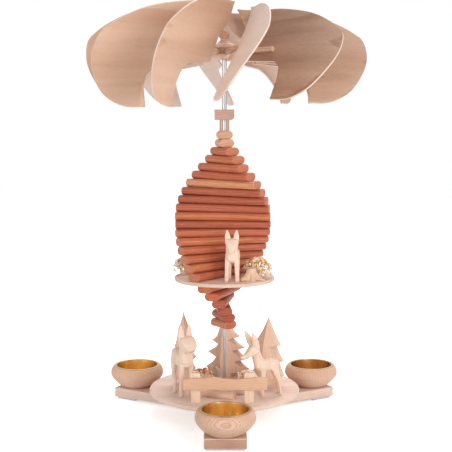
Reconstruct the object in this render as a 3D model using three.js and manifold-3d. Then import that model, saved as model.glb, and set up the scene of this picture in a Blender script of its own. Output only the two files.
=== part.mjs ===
// Candle carousel with an egg shaped stack of turned slats
import * as THREE from 'three';
import { mergeVertices } from 'three/addons/utils/BufferGeometryUtils.js';
import Module from 'manifold-3d';

const wasm = await Module();
wasm.setup();

// Sizes in millimetres, +Z up, spin axis on Z, floor at zero, front arm along -Y
const clearance = 0.3;
const overrun = 1;
const weldReach = 0.0001;

const arm = { width: 37, thick: 9.14, overhang: 14.9, count: 3 };
const foot = { width: 34, length: 21.5, thick: 2, inset: 2.8 };
const bowl = {
  gap: 3.8, baseRadius: 14.5, bellyRadius: 26.5, rimRadius: 23.3,
  height: 21, bellyHeight: 14.1, floorHeight: 5.4,
};
const insert = { innerRadius: 20, wall: 0.6, flangeRadius: 23.1, flange: 0.6, depth: 15 };
const plate = { radius: 72.1, thick: 3.8, edge: 0.8, top: 23.4, bossRadius: 32 };
const rod = { radius: 1.5, seatDepth: 9, tipHeight: 7, tipRadius: 0.3 };
const tube = { radius: 2.25, wall: 0.4 };
const slat = { count: 24, width: 14, thick: 7.68, length: 90, sides: 10, bottom: 82.2 };
const stage = { radius: 47.8, thick: 3.5, edge: 0.7, slatsBelow: 6 };
const driver = { width: 18.3, depth: 10, height: 9.6, lift: 10.2, corner: 3 };
const pin = { radius: 1, offset: 3.6, seatDepth: 5 };
const hub = {
  height: 10, flangeRadius: 15.6, flangeHeight: 4, waistRadius: 13.4,
  bottom: 336.6, stemHeight: 5.9,
};
const cap = {
  rimRadius: 12.9, rimHeight: 2.6, coneHeight: 8.4, neckRadius: 3.4, knobRadius: 4.6, knobHeight: 9,
};
const bearing = { radius: 4, height: 6.8, pitRadius: 2.5, pitEndRadius: 0.8, pitDepth: 4.6 };
const blade = {
  count: 10, reach: 130, chord: 50, thick: 2.4, stemRadius: 2.3, stemEnd: 61,
  baseDepth: 4.7, slopeDepth: -8.7, cupDepth: 10.3, warpDepth: 3.8,
  edgeDepth: -4.9, tuckDepth: -1.9, tipDepth: 5, tipLength: 26,
};
const deer = { height: 67, width: 14 };
const tree = { height: 64, width: 29.5 };
const fence = {
  postWidth: 8.4, postDepth: 4.6, postHeight: 27.6, span: 48.8, middleShare: -0.03, frontShare: -0.749,
  railLength: 77.6, railShift: 1.7, railHeight: 10.6, railThick: 3, railLift: 12.6, railBite: 0.5, wave: 1.2,
};
const log = { radius: 4.4, length: 33, flat: 1.2 };
const stump = { height: 12.5, topRadius: 5.4, rootRadius: 11.5, rootHeight: 5, roots: 5 };

// Turns and angles in degrees
const firstBladeTurn = -81;
const bladePitch = 60;
const bladePitchTrims = [-3, -6, -1, -4, -6, -3, 2, 7, 5, 10];
const slatTurnStep = 7.8;
const slatTurnMiddle = 10.3;
const lowerSlatTurns = [61, 70, 81, 94, 110, 129];

// Slat lengths as shares of the longest, from the top one down
const slatLengthShares = [
  0.14, 0.19, 0.39, 0.53, 0.65, 0.76, 0.85, 0.91, 0.955, 0.985, 1, 1,
  1, 1, 1, 1, 0.995, 0.985, 0.84, 0.73, 0.6, 0.46, 0.31, 0.255,
];

// Blade outline as shares of its reach along the stem and of its half chord
const rimShares = [
  [0.612, -1.02], [0.77, -1.0], [0.9, -0.8], [0.98, -0.45], [1.012, -0.08],
  [0.985, 0.28], [0.92, 0.46], [0.8, 0.65], [0.62, 0.83], [0.34, 0.95], [0.07, 0.95],
];
const innerShares = [
  [0.612, -1.02], [0.614, -0.63], [0.58, -0.38], [0.52, -0.25], [0.42, -0.24],
  [0.23, -0.19], [0.225, 0.32], [0.16, 0.5], [0.125, 0.66], [0.1, 0.82], [0.07, 0.95],
];

// Side outline of a standing deer, as shares of its height, forward and up. What lies behind
// the shoulder is drawn out or in by the body share of each deer.
const shoulderShare = 0.1;
const deerSideShares = [
  [-0.25, 0], [-0.195, 0], [-0.175, 0.15], [-0.135, 0.26], [-0.09, 0.31], [0.09, 0.31],
  [0.12, 0.18], [0.13, 0], [0.185, 0], [0.19, 0.21], [0.245, 0.36], [0.26, 0.54],
  [0.29, 0.63], [0.4, 0.62], [0.43, 0.66], [0.41, 0.72], [0.32, 0.82], [0.31, 0.87],
  [0.285, 1], [0.225, 0.9], [0.2, 0.81], [0.12, 0.67], [0.04, 0.61], [-0.12, 0.6],
  [-0.22, 0.585], [-0.275, 0.5], [-0.255, 0.42], [-0.26, 0.3], [-0.275, 0.18], [-0.25, 0.09],
];
// Half of its front outline, as shares of its width and its height, from the crotch round
const deerFrontShares = [
  [0, 0.41], [0.14, 0.38], [0.2, 0.28], [0.22, 0], [0.5, 0], [0.47, 0.2], [0.46, 0.4], [0.5, 0.55],
  [0.48, 0.62], [0.36, 0.65], [0.46, 0.72], [0.5, 0.79], [0.45, 0.84], [0.44, 0.93], [0.29, 1],
  [0.15, 0.93], [0, 0.84],
];

// Half of each sawn tree's outline, as shares of its width and its height, from the ground up
const treeShares = [
  [0, 0], [0.2, 0], [0.2, 0.08], [0.5, 0.13], [0.36, 0.24], [0.28, 0.34], [0.47, 0.36],
  [0.32, 0.47], [0.22, 0.56], [0.4, 0.58], [0.24, 0.73], [0.11, 0.88], [0, 1],
];
const wideTreeShares = [
  [0, 0], [0.2, 0], [0.2, 0.09], [0.5, 0.13], [0.3, 0.2], [0.2, 0.25], [0.42, 0.29], [0.28, 0.36],
  [0.19, 0.42], [0.36, 0.45], [0.22, 0.52], [0.14, 0.58], [0.28, 0.6], [0.13, 0.75], [0, 1],
];
// The same for the corners of the four sided spike that each tree is sawn from
const spikeShares = [[0, 0], [0.53, 0], [0.53, 0.13], [0.5, 0.36], [0.43, 0.6], [0.28, 0.8], [0, 1.01]];

// Where the small carved pieces stand: shares of their plate's radius along X and Y, heading,
// and shares of the plain sizes
const deerPlaces = {
  deer_left: {
    placeShares: [-0.555, -0.319], turn: -70, heightShare: 1, widthShare: 1, bodyShare: 0.66,
  },
  deer_right: {
    placeShares: [0.585, -0.373], turn: -168, heightShare: 0.88, widthShare: 0.95, bodyShare: 0.7,
  },
};
const stageDeerPlace = {
  placeShares: [0.13, -0.565], turn: -96, heightShare: 0.72, widthShare: 0.94, bodyShare: 1,
};
const treePlaces = {
  tree_left: {
    placeShares: [-0.548, 0.139], turn: 8, heightShare: 1.09, widthShare: 0.84, outline: treeShares,
  },
  tree_middle: {
    placeShares: [0.021, 0.638], turn: -18, heightShare: 1.02, widthShare: 1.55, outline: wideTreeShares,
  },
  tree_right: {
    placeShares: [0.617, 0.153], turn: -12, heightShare: 1, widthShare: 1.05, outline: treeShares,
  },
};
const logPlace = { placeShares: [-0.083, -0.485], turn: -26 };
const stumpPlace = { placeShares: [0.513, -0.533], turn: 20 };

// Heights worked out from the sizes above
const armBottom = foot.thick;
const armTop = armBottom + arm.thick;
const bowlRing = plate.radius + bowl.gap + bowl.bellyRadius;
const armReach = bowlRing + arm.overhang;
const bowlTop = armTop + bowl.height;
const stageBottom = slat.bottom + stage.slatsBelow * slat.thick;
const stageTop = stageBottom + stage.thick;
const stackTop = stageTop + (slat.count - stage.slatsBelow) * slat.thick;
const driverBottom = stackTop + driver.lift;
const hubTop = hub.bottom + hub.height;
const stemAxis = hub.bottom + hub.stemHeight;
const bearingBottom = hubTop - bearing.height;
const tubeTop = bearingBottom - clearance;
const rodTop = bearingBottom + bearing.pitDepth - clearance;

const wood = { pale: 0xe9cfb8, blade: 0xe3c4a8, slat: 0xb9684a, slatTan: 0xd7a67d, figure: 0xf0d6c0 };
const finish = {
  paleWood: new THREE.MeshStandardMaterial({ color: wood.pale, roughness: 0.7, metalness: 0 }),
  bladeWood: new THREE.MeshStandardMaterial({ color: wood.blade, roughness: 0.6, metalness: 0 }),
  slatWood: new THREE.MeshStandardMaterial({ color: wood.slat, roughness: 0.65, metalness: 0 }),
  tanWood: new THREE.MeshStandardMaterial({ color: wood.slatTan, roughness: 0.65, metalness: 0 }),
  figureWood: new THREE.MeshStandardMaterial({ color: wood.figure, roughness: 0.75, metalness: 0 }),
  brass: new THREE.MeshStandardMaterial({ color: 0xc9963f, roughness: 0.3, metalness: 1 }),
  steel: new THREE.MeshStandardMaterial({ color: 0xc8c8cc, roughness: 0.25, metalness: 1 }),
  glass: new THREE.MeshStandardMaterial({ color: 0xe6eef0, roughness: 0.05, metalness: 0 }),
};

const radians = THREE.MathUtils.degToRad;

// A closed three.js geometry as a solid that can be joined and cut
function toSolid(geometry) {
  const plain = geometry.index ? geometry.toNonIndexed() : geometry.clone();
  plain.deleteAttribute('normal');
  plain.deleteAttribute('uv');
  const merged = mergeVertices(plain, weldReach);
  const index = merged.index.array;
  const triVerts = [];
  for (let i = 0; i < index.length; i += 3) {
    const [a, b, c] = [index[i], index[i + 1], index[i + 2]];
    if (a !== b && b !== c && c !== a) triVerts.push(a, b, c);
  }
  return new wasm.Manifold(new wasm.Mesh({
    numProp: 3,
    vertProperties: new Float32Array(merged.attributes.position.array),
    triVerts: new Uint32Array(triVerts),
  }));
}

// A solid back as a three.js geometry
function toGeometry(solid) {
  const mesh = solid.getMesh();
  const geometry = new THREE.BufferGeometry();
  geometry.setAttribute('position', new THREE.BufferAttribute(new Float32Array(mesh.vertProperties), 3));
  geometry.setIndex(new THREE.BufferAttribute(new Uint32Array(mesh.triVerts), 1));
  geometry.computeVertexNormals();
  return geometry;
}

function named(name, geometry, material) {
  const mesh = new THREE.Mesh(geometry, material);
  mesh.name = name;
  return mesh;
}

// An upright cylinder from one height to another
function post(radius, bottom, top, sides = 16) {
  const geometry = new THREE.CylinderGeometry(radius, radius, top - bottom, sides);
  geometry.rotateX(Math.PI / 2);
  geometry.translate(0, 0, (top + bottom) / 2);
  return geometry;
}

// A turned piece from a profile of radius and height pairs, upright
function turned(profile, sides = 28) {
  const geometry = new THREE.LatheGeometry(profile.map(([r, z]) => new THREE.Vector2(r, z)), sides);
  geometry.rotateX(Math.PI / 2);
  return geometry;
}

// A block between two corners
function block(low, high) {
  const size = high.map((value, axis) => value - low[axis]);
  const geometry = new THREE.BoxGeometry(...size);
  geometry.translate(...low.map((value, axis) => value + size[axis] / 2));
  return geometry;
}

function shapeOf(points) {
  return new THREE.Shape(points.map(([x, y]) => new THREE.Vector2(x, y)));
}

// A bar with a mitred inner end and the felt pad glued under its outer end
function armGeometry() {
  const half = arm.width / 2;
  const mitre = half / Math.tan(Math.PI / arm.count);
  const gap = clearance / 2;
  const outline = shapeOf([
    [gap, 0], [mitre + gap, -half], [armReach, -half], [armReach, half], [mitre + gap, half],
  ]);
  const bar = new THREE.ExtrudeGeometry(outline, { depth: arm.thick, bevelEnabled: false });
  bar.translate(0, 0, armBottom);
  const outer = armReach - foot.inset;
  const pad = block([outer - foot.length, -foot.width / 2, 0], [outer, foot.width / 2, armBottom + overrun]);
  return toGeometry(toSolid(bar).add(toSolid(pad)));
}

// The wooden bowl with the recess that the brass insert drops into
function bowlGeometry() {
  const cavity = insert.innerRadius + insert.wall + clearance;
  const belly = armTop + bowl.bellyHeight;
  const low = (bowl.baseRadius + bowl.bellyRadius) / 2;
  const high = (bowl.rimRadius + bowl.bellyRadius) / 2;
  return turned([
    [0, armTop], [bowl.baseRadius, armTop],
    [low + bowl.height / 10, armTop + bowl.bellyHeight / 4],
    [bowl.bellyRadius - bowl.height / 18, armTop + bowl.bellyHeight * 0.62],
    [bowl.bellyRadius, belly],
    [high + bowl.height / 40, belly + (bowlTop - belly) * 0.7],
    [bowl.rimRadius, bowlTop], [cavity, bowlTop],
    [cavity, armTop + bowl.floorHeight], [0, armTop + bowl.floorHeight],
  ]);
}

// The brass cup with its flat flange on the bowl's rim
function insertGeometry() {
  const outer = insert.innerRadius + insert.wall;
  const top = bowlTop + insert.flange;
  const bottom = bowlTop - insert.depth;
  return turned([
    [0, bottom], [outer, bottom], [outer, bowlTop], [insert.flangeRadius, bowlTop],
    [insert.flangeRadius, top], [insert.innerRadius, top], [insert.innerRadius, bottom + insert.wall],
    [0, bottom + insert.wall],
  ]);
}

// The round scene plate, turned in one with the boss that lifts it off the arms
function plateGeometry() {
  const bottom = plate.top - plate.thick;
  const hole = rod.radius + clearance;
  const seat = plate.top - rod.seatDepth - clearance;
  return turned([
    [0, armTop], [plate.bossRadius, armTop], [plate.bossRadius, bottom],
    [plate.radius - plate.edge, bottom], [plate.radius, bottom + plate.edge],
    [plate.radius, plate.top - plate.edge], [plate.radius - plate.edge, plate.top],
    [hole, plate.top], [hole, seat], [0, seat],
  ], 48);
}

function rodGeometry() {
  return turned([
    [0, plate.top - rod.seatDepth], [rod.radius, plate.top - rod.seatDepth],
    [rod.radius, rodTop - rod.tipHeight], [rod.tipRadius, rodTop], [0, rodTop],
  ], 12);
}

function tubeGeometry() {
  const inner = tube.radius - tube.wall;
  return turned([
    [inner, slat.bottom], [tube.radius, slat.bottom], [tube.radius, tubeTop],
    [inner, tubeTop], [inner, slat.bottom],
  ], 16);
}

// One slat with rounded long edges, square ends and the hole for the tube
function slatGeometry(index) {
  const length = slat.length * slatLengthShares[index];
  const radius = slat.thick / 2;
  const flat = slat.width / 2 - radius;
  const steps = slat.sides / 2;
  const points = [];
  for (const side of [1, -1]) {
    for (let step = 0; step <= steps; step += 1) {
      const angle = Math.PI * (step / steps - 0.5);
      points.push([side * (flat + radius * Math.cos(angle)), side * radius * Math.sin(angle)]);
    }
  }
  const geometry = new THREE.ExtrudeGeometry(shapeOf(points), { depth: length, bevelEnabled: false });
  geometry.translate(0, 0, -length / 2);
  geometry.rotateX(Math.PI / 2);
  geometry.rotateZ(Math.PI / 2);
  const low = -radius - overrun;
  const high = radius + overrun;
  let solid = toSolid(geometry).subtract(toSolid(post(tube.radius + clearance, low, high, 12)));
  if (index === 0) {
    for (const side of [1, -1]) {
      const hole = post(pin.radius + clearance, radius - pin.seatDepth - clearance, high, 8);
      hole.rotateZ(-radians(slatTurn(0)));
      hole.translate(...pinPlace(side, -slatTurn(0)));
      solid = solid.subtract(toSolid(hole));
    }
  }
  return toGeometry(solid);
}

function slatTurn(index) {
  const upper = slat.count - stage.slatsBelow;
  if (index < upper) return slatTurnStep * (index - slatTurnMiddle);
  return lowerSlatTurns[index - upper];
}

function slatMiddle(index) {
  const upper = slat.count - stage.slatsBelow;
  if (index < upper) return stackTop - (index + 0.5) * slat.thick;
  return stageBottom - (index - upper + 0.5) * slat.thick;
}

// A driver pin's place beside the tube, in a frame turned by so many degrees
function pinPlace(side, turn) {
  const angle = radians(turn);
  return [side * pin.offset * Math.cos(angle), side * pin.offset * Math.sin(angle), 0];
}

function stageGeometry() {
  const hole = tube.radius + clearance;
  return turned([
    [hole, stageBottom], [stage.radius - stage.edge, stageBottom], [stage.radius, stageBottom + stage.edge],
    [stage.radius, stageTop - stage.edge], [stage.radius - stage.edge, stageTop], [hole, stageTop],
    [hole, stageBottom],
  ], 40);
}

// The block that drives the stack, with its two pins down into the top slat
function driverGeometry() {
  const half = driver.width / 2;
  const outline = new THREE.Shape();
  outline.moveTo(-half, 0);
  outline.lineTo(half - driver.corner, 0);
  outline.quadraticCurveTo(half, 0, half, driver.corner);
  outline.lineTo(half, driver.height);
  outline.lineTo(-half, driver.height);
  outline.closePath();
  const settings = { depth: driver.depth, bevelEnabled: false, curveSegments: 5 };
  const geometry = new THREE.ExtrudeGeometry(outline, settings);
  geometry.rotateX(Math.PI / 2);
  geometry.translate(0, driver.depth / 2, driverBottom);
  const driverTop = driverBottom + driver.height;
  const bore = post(tube.radius + clearance, driverBottom - overrun, driverTop + overrun, 12);
  let solid = toSolid(geometry).subtract(toSolid(bore));
  for (const side of [1, -1]) {
    const dowel = post(pin.radius, stackTop - pin.seatDepth, driverBottom + driver.height / 2, 8);
    dowel.translate(...pinPlace(side, 0));
    solid = solid.add(toSolid(dowel));
  }
  return toGeometry(solid);
}

// The turned hub with a waist and a ring of holes for the blade stems
function hubGeometry() {
  const waistBottom = hub.bottom + hub.flangeHeight;
  const step = (hub.flangeRadius - hub.waistRadius) / 2;
  const tubeHole = tube.radius + clearance;
  const cupHole = bearing.radius + clearance;
  const body = turned([
    [tubeHole, hub.bottom], [hub.flangeRadius - step / 2, hub.bottom], [hub.flangeRadius, hub.bottom + step],
    [hub.flangeRadius, waistBottom - step], [hub.waistRadius, waistBottom],
    [hub.waistRadius, hubTop], [cupHole, hubTop],
    [cupHole, tubeTop], [tubeHole, tubeTop], [tubeHole, hub.bottom],
  ], 40);
  let solid = toSolid(body);
  for (let index = 0; index < blade.count; index += 1) {
    const hole = post(blade.stemRadius + clearance, stemStart() - clearance, hub.flangeRadius + overrun, 10);
    hole.rotateY(Math.PI / 2);
    hole.rotateZ(radians(bladeTurn(index)));
    hole.translate(0, 0, stemAxis);
    solid = solid.subtract(toSolid(hole));
  }
  return toGeometry(solid);
}

// The coned cap turned in one with its knob
function capGeometry() {
  const rimTop = hubTop + cap.rimHeight;
  const coneTop = hubTop + cap.coneHeight;
  const knobTop = coneTop + cap.knobHeight;
  const cone = (cap.rimRadius + cap.neckRadius) / 2;
  return turned([
    [0, hubTop], [cap.rimRadius, hubTop], [cap.rimRadius, rimTop],
    [cone, rimTop + (coneTop - rimTop) * 0.35], [cap.neckRadius, coneTop],
    [cap.knobRadius, coneTop + cap.knobHeight / 4], [cap.knobRadius, coneTop + cap.knobHeight * 0.6],
    [cap.knobRadius * 0.72, knobTop - cap.knobHeight / 8], [0, knobTop],
  ], 24);
}

// The glass cup that turns on the rod's point
function bearingGeometry() {
  const pitTop = bearingBottom + bearing.pitDepth;
  return turned([
    [bearing.pitRadius, bearingBottom], [bearing.radius, bearingBottom], [bearing.radius, hubTop],
    [0, hubTop], [0, pitTop], [bearing.pitEndRadius, pitTop], [bearing.pitRadius, bearingBottom],
  ], 14);
}

function bladeTurn(index) {
  return firstBladeTurn + index * 360 / blade.count;
}

// Inner end of a stem, where neighbouring stems still clear each other
function stemStart() {
  return (blade.stemRadius + clearance) / Math.sin(Math.PI / blade.count) + clearance;
}

// How far the curved blade lies off the flat plane through its stem
function bladeDepth(along, across) {
  const u = along / blade.reach;
  const v = across / blade.chord;
  const bend = blade.baseDepth + blade.slopeDepth * u + blade.cupDepth * u * u;
  const tip = Math.max(0, 1 - along / blade.tipLength);
  const warp = blade.warpDepth * u * v + blade.edgeDepth * v ** 3 + blade.tuckDepth * u * u * v;
  return blade.tipDepth * tip * tip - bend - warp;
}

// A curved half moon blade of even thickness on its round stem
function bladeGeometry() {
  const rows = 4;
  const half = blade.thick / 2;
  const columns = rimShares.map((outer, index) => {
    const inner = innerShares[index];
    const column = [];
    for (let row = 0; row <= rows; row += 1) {
      const share = row / rows;
      const along = blade.reach * (inner[0] + (outer[0] - inner[0]) * share);
      const across = blade.chord * (inner[1] + (outer[1] - inner[1]) * share);
      column.push([along, across, bladeDepth(along, across)]);
    }
    return column;
  });
  const positions = [];
  const corner = (column, row, side) => {
    const [x, y, z] = columns[column][row];
    return [x, y, z + side * half];
  };
  const face = (...corners) => {
    positions.push(...corners[0], ...corners[1], ...corners[2], ...corners[0], ...corners[2], ...corners[3]);
  };
  const last = columns.length - 1;
  for (let column = 0; column < last; column += 1) {
    const next = column + 1;
    for (let row = 0; row < rows; row += 1) {
      const up = row + 1;
      face(corner(column, row, 1), corner(column, up, 1), corner(next, up, 1), corner(next, row, 1));
      face(corner(column, row, -1), corner(next, row, -1), corner(next, up, -1), corner(column, up, -1));
    }
    face(corner(column, 0, -1), corner(column, 0, 1), corner(next, 0, 1), corner(next, 0, -1));
    face(corner(column, rows, 1), corner(column, rows, -1), corner(next, rows, -1), corner(next, rows, 1));
  }
  const sheet = new THREE.BufferGeometry();
  sheet.setAttribute('position', new THREE.BufferAttribute(new Float32Array(positions), 3));
  const stem = post(blade.stemRadius, stemStart(), blade.stemEnd, 10);
  stem.rotateY(Math.PI / 2);
  return toGeometry(toSolid(sheet).add(toSolid(stem)));
}

// An outline mirrored about the upright axis, sawn out of a board of some depth
function sawn(halfShares, width, height, depth) {
  const right = halfShares.map(([x, z]) => [x * width, z * height]);
  const left = right.filter(([x]) => x > 0).map(([x, z]) => [-x, z]).reverse();
  return board([...right, ...left], depth);
}

// An upright board of an outline, standing across Y
function board(points, depth) {
  const geometry = new THREE.ExtrudeGeometry(shapeOf(points), { depth, bevelEnabled: false });
  geometry.translate(0, 0, -depth / 2);
  geometry.rotateX(Math.PI / 2);
  return geometry;
}

// A deer sawn from a block twice: its side outline and then its front outline
function deerGeometry(place) {
  const height = deer.height * place.heightShare;
  const width = deer.width * place.widthShare;
  const profile = deerSideShares.map(([x, z]) => {
    const behind = Math.max(0, shoulderShare - x);
    return [(x + behind * (1 - place.bodyShare)) * height, z * height];
  });
  const side = board(profile, width + overrun);
  const front = sawn(deerFrontShares, width, height, height * 2);
  front.rotateZ(Math.PI / 2);
  return toGeometry(toSolid(side).intersect(toSolid(front)));
}

// A four sided spike with a corner to the front, sawn through from the front
function treeGeometry(place) {
  const height = tree.height * place.heightShare;
  const width = tree.width * place.widthShare;
  const spike = turned(spikeShares.map(([x, z]) => [x * width, z * height]), 4);
  const cuts = sawn(place.outline, width, height, width * 2);
  return toGeometry(toSolid(spike).intersect(toSolid(cuts)));
}

// Two posts and the wavy rail across their front
function fenceGeometry() {
  const front = fence.frontShare * plate.radius;
  const middle = fence.middleShare * plate.radius;
  const back = front + fence.postDepth;
  const half = fence.postWidth / 2;
  const top = plate.top + fence.postHeight;
  const railBottom = plate.top + fence.railLift;
  const railMiddle = middle + fence.railShift;
  const ends = [railMiddle - fence.railLength / 2, railMiddle + fence.railLength / 2];
  const outline = new THREE.Shape();
  outline.moveTo(ends[0], railBottom);
  outline.lineTo(ends[1], railBottom);
  const steps = 16;
  for (let step = 0; step <= steps; step += 1) {
    const share = step / steps;
    const lift = fence.wave * Math.sin(share * Math.PI * 4.4 + 0.6);
    outline.lineTo(ends[1] + (ends[0] - ends[1]) * share, railBottom + fence.railHeight + lift);
  }
  outline.closePath();
  const depth = fence.railThick + fence.railBite;
  const rail = new THREE.ExtrudeGeometry(outline, { depth, bevelEnabled: false });
  rail.rotateX(Math.PI / 2);
  rail.translate(0, front + fence.railBite, 0);
  let solid = toSolid(rail);
  for (const side of [-1, 1]) {
    const x = middle + side * fence.span / 2;
    solid = solid.add(toSolid(block([x - half, front, plate.top], [x + half, back, top])));
  }
  return toGeometry(solid);
}

// A short log lying on its split flat side
function logGeometry() {
  const geometry = new THREE.CylinderGeometry(log.radius, log.radius, log.length, 14);
  geometry.rotateZ(Math.PI / 2);
  geometry.translate(0, 0, log.radius - log.flat);
  const reach = log.length;
  const under = block([-reach, -reach, -reach], [reach, reach, 0]);
  return toGeometry(toSolid(geometry).subtract(toSolid(under)));
}

// A stump whose foot spreads into roots
function stumpGeometry() {
  const sides = stump.roots * 6;
  const levels = [0, 0.1, 0.3, 0.6, 1];
  const ring = (share) => {
    const spread = Math.max(0, 1 - share * stump.height / stump.rootHeight) ** 2;
    const points = [];
    for (let side = 0; side < sides; side += 1) {
      const angle = side / sides * Math.PI * 2;
      const wave = 0.55 + 0.45 * Math.cos(angle * stump.roots);
      const flare = (stump.rootRadius - stump.topRadius) * spread * wave;
      const radius = stump.topRadius * (1.15 - 0.15 * share) + flare;
      points.push([radius * Math.cos(angle), radius * Math.sin(angle), share * stump.height]);
    }
    return points;
  };
  const rings = levels.map(ring);
  const positions = [];
  const low = [0, 0, 0];
  const high = [0, 0, stump.height];
  for (let side = 0; side < sides; side += 1) {
    const next = (side + 1) % sides;
    positions.push(...low, ...rings[0][next], ...rings[0][side]);
    for (let level = 0; level < levels.length - 1; level += 1) {
      const [lower, upper] = [rings[level], rings[level + 1]];
      positions.push(...lower[side], ...lower[next], ...upper[next]);
      positions.push(...lower[side], ...upper[next], ...upper[side]);
    }
    const rim = rings[levels.length - 1];
    positions.push(...high, ...rim[side], ...rim[next]);
  }
  const geometry = new THREE.BufferGeometry();
  geometry.setAttribute('position', new THREE.BufferAttribute(new Float32Array(positions), 3));
  return toGeometry(toSolid(geometry));
}

// Stand a piece at its place on a round plate
function stand(mesh, place, radius, height) {
  const [x, y] = place.placeShares.map((share) => share * radius);
  mesh.position.set(x, y, height);
  mesh.rotation.z = radians(place.turn);
  return mesh;
}

const carousel = new THREE.Group();

// The base with its three arms, bowls and inserts
const armNames = ['front', 'right', 'left'];
armNames.forEach((side, index) => {
  const turn = radians(-90 + index * 360 / arm.count);
  const mesh = named(`arm_${side}`, armGeometry(), finish.paleWood);
  mesh.rotation.z = turn;
  carousel.add(mesh);
  const x = bowlRing * Math.cos(turn);
  const y = bowlRing * Math.sin(turn);
  const cup = named(`bowl_${side}`, bowlGeometry(), finish.paleWood);
  cup.position.set(x, y, 0);
  const liner = named(`insert_${side}`, insertGeometry(), finish.brass);
  liner.position.set(x, y, 0);
  carousel.add(cup, liner);
});
carousel.add(named('scene_plate', plateGeometry(), finish.paleWood));
carousel.add(named('needle_rod', rodGeometry(), finish.steel));

// The carved scene on the plate
for (const [name, place] of Object.entries(deerPlaces)) {
  carousel.add(stand(named(name, deerGeometry(place), finish.figureWood), place, plate.radius, plate.top));
}
for (const [name, place] of Object.entries(treePlaces)) {
  carousel.add(stand(named(name, treeGeometry(place), finish.figureWood), place, plate.radius, plate.top));
}
carousel.add(named('fence', fenceGeometry(), finish.figureWood));
carousel.add(stand(named('log', logGeometry(), finish.figureWood), logPlace, plate.radius, plate.top));

// The rotor that hangs on the rod's point
carousel.add(named('spindle_tube', tubeGeometry(), finish.steel));
for (let index = 0; index < slat.count; index += 1) {
  const number = String(index + 1).padStart(2, '0');
  const tan = index < 2 ? finish.tanWood : finish.slatWood;
  const mesh = named(`slat_${number}`, slatGeometry(index), tan);
  mesh.position.z = slatMiddle(index);
  mesh.rotation.z = radians(slatTurn(index));
  carousel.add(mesh);
}
carousel.add(named('stage_plate', stageGeometry(), finish.paleWood));
const stageDeer = named('deer_stage', deerGeometry(stageDeerPlace), finish.figureWood);
carousel.add(stand(stageDeer, stageDeerPlace, stage.radius, stageTop));
carousel.add(stand(named('stump', stumpGeometry(), finish.figureWood), stumpPlace, stage.radius, stageTop));
carousel.add(named('driver_block', driverGeometry(), finish.tanWood));
carousel.add(named('hub', hubGeometry(), finish.paleWood));
carousel.add(named('hub_cap', capGeometry(), finish.tanWood));
carousel.add(named('glass_bearing', bearingGeometry(), finish.glass));

// The wing wheel
for (let index = 0; index < blade.count; index += 1) {
  const number = String(index + 1).padStart(2, '0');
  const mesh = named(`blade_${number}`, bladeGeometry(), finish.bladeWood);
  const pitch = bladePitch + bladePitchTrims[index];
  mesh.rotation.set(radians(pitch), 0, radians(bladeTurn(index)), 'ZYX');
  mesh.position.z = stemAxis;
  carousel.add(mesh);
}

export default carousel;
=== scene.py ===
import math
import random

import bmesh
import bpy
from mathutils import Matrix, Vector


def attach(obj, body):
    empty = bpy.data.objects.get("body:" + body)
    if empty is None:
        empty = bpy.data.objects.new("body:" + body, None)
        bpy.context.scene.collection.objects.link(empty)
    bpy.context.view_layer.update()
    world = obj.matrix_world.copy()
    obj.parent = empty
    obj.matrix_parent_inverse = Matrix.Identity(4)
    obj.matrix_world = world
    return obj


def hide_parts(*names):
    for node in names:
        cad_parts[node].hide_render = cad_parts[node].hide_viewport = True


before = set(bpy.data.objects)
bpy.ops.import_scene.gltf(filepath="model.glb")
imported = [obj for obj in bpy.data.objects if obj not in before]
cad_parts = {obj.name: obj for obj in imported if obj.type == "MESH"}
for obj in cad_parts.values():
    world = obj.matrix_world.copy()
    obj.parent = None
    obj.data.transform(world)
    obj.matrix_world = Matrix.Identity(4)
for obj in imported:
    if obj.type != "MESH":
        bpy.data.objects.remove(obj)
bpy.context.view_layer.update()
MM = 0.001  # shapes are written in millimetres, and the scene is in metres
UP = Vector((0, 0, 1))

scene = bpy.context.scene
ROOT = scene.collection


def placed(name, data):
    obj = bpy.data.objects.new(name, data)
    ROOT.objects.link(obj)
    return obj


# -------- camera, as fitted to the photograph
camera = placed("camera", bpy.data.cameras.new("camera"))
camera.location = (-0.0066, -0.8918, 0.2740)
camera.rotation_euler = (math.radians(90 - 6.02), 0, math.radians(-0.52))
camera.data.sensor_width = 36
camera.data.sensor_fit = "HORIZONTAL"
camera.data.lens = 75.11
camera.data.clip_end = 50
scene.camera = camera
scene.view_settings.view_transform = "Standard"


# -------- material helpers
def srgb(r, g, b):
    """The linear colour of an sRGB tone of 0 to 255."""
    def lin(c):
        c = c / 255
        return c / 12.92 if c <= 0.04045 else ((c + 0.055) / 1.055) ** 2.4
    return (lin(r), lin(g), lin(b), 1)


def grey(level):
    return (level, level, level, 1)


BLACK, WHITE = grey(0), grey(1)


def nodes_of(name):
    """A new material with a Principled shader: the material, its node tree and the shader."""
    mat = bpy.data.materials.new(name)
    mat.use_nodes = True
    tree = mat.node_tree
    tree.nodes.clear()
    out = tree.nodes.new("ShaderNodeOutputMaterial")
    shader = tree.nodes.new("ShaderNodeBsdfPrincipled")
    tree.links.new(shader.outputs[0], out.inputs[0])
    return mat, tree, shader


def add(tree, kind, inputs=None, **props):
    """A new node. An input is a constant or another node's socket."""
    node = tree.nodes.new(kind)
    for key, value in props.items():
        setattr(node, key, value)
    for key, value in (inputs or {}).items():
        if isinstance(value, bpy.types.NodeSocket):
            tree.links.new(value, node.inputs[key])
        else:
            node.inputs[key].default_value = value
    return node


def ramp(tree, value, stops):
    node = add(tree, "ShaderNodeValToRGB", {0: value})
    points = node.color_ramp.elements
    while len(points) < len(stops):
        points.new(0.5)
    for point, (place, colour) in zip(points, stops):
        point.position = place
        point.color = colour
    return node.outputs[0]


def mix(tree, factor, a, b, blend="MIX"):
    node = add(tree, "ShaderNodeMix", {0: factor, 6: a, 7: b}, data_type="RGBA", blend_type=blend)
    return node.outputs[2]


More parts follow.
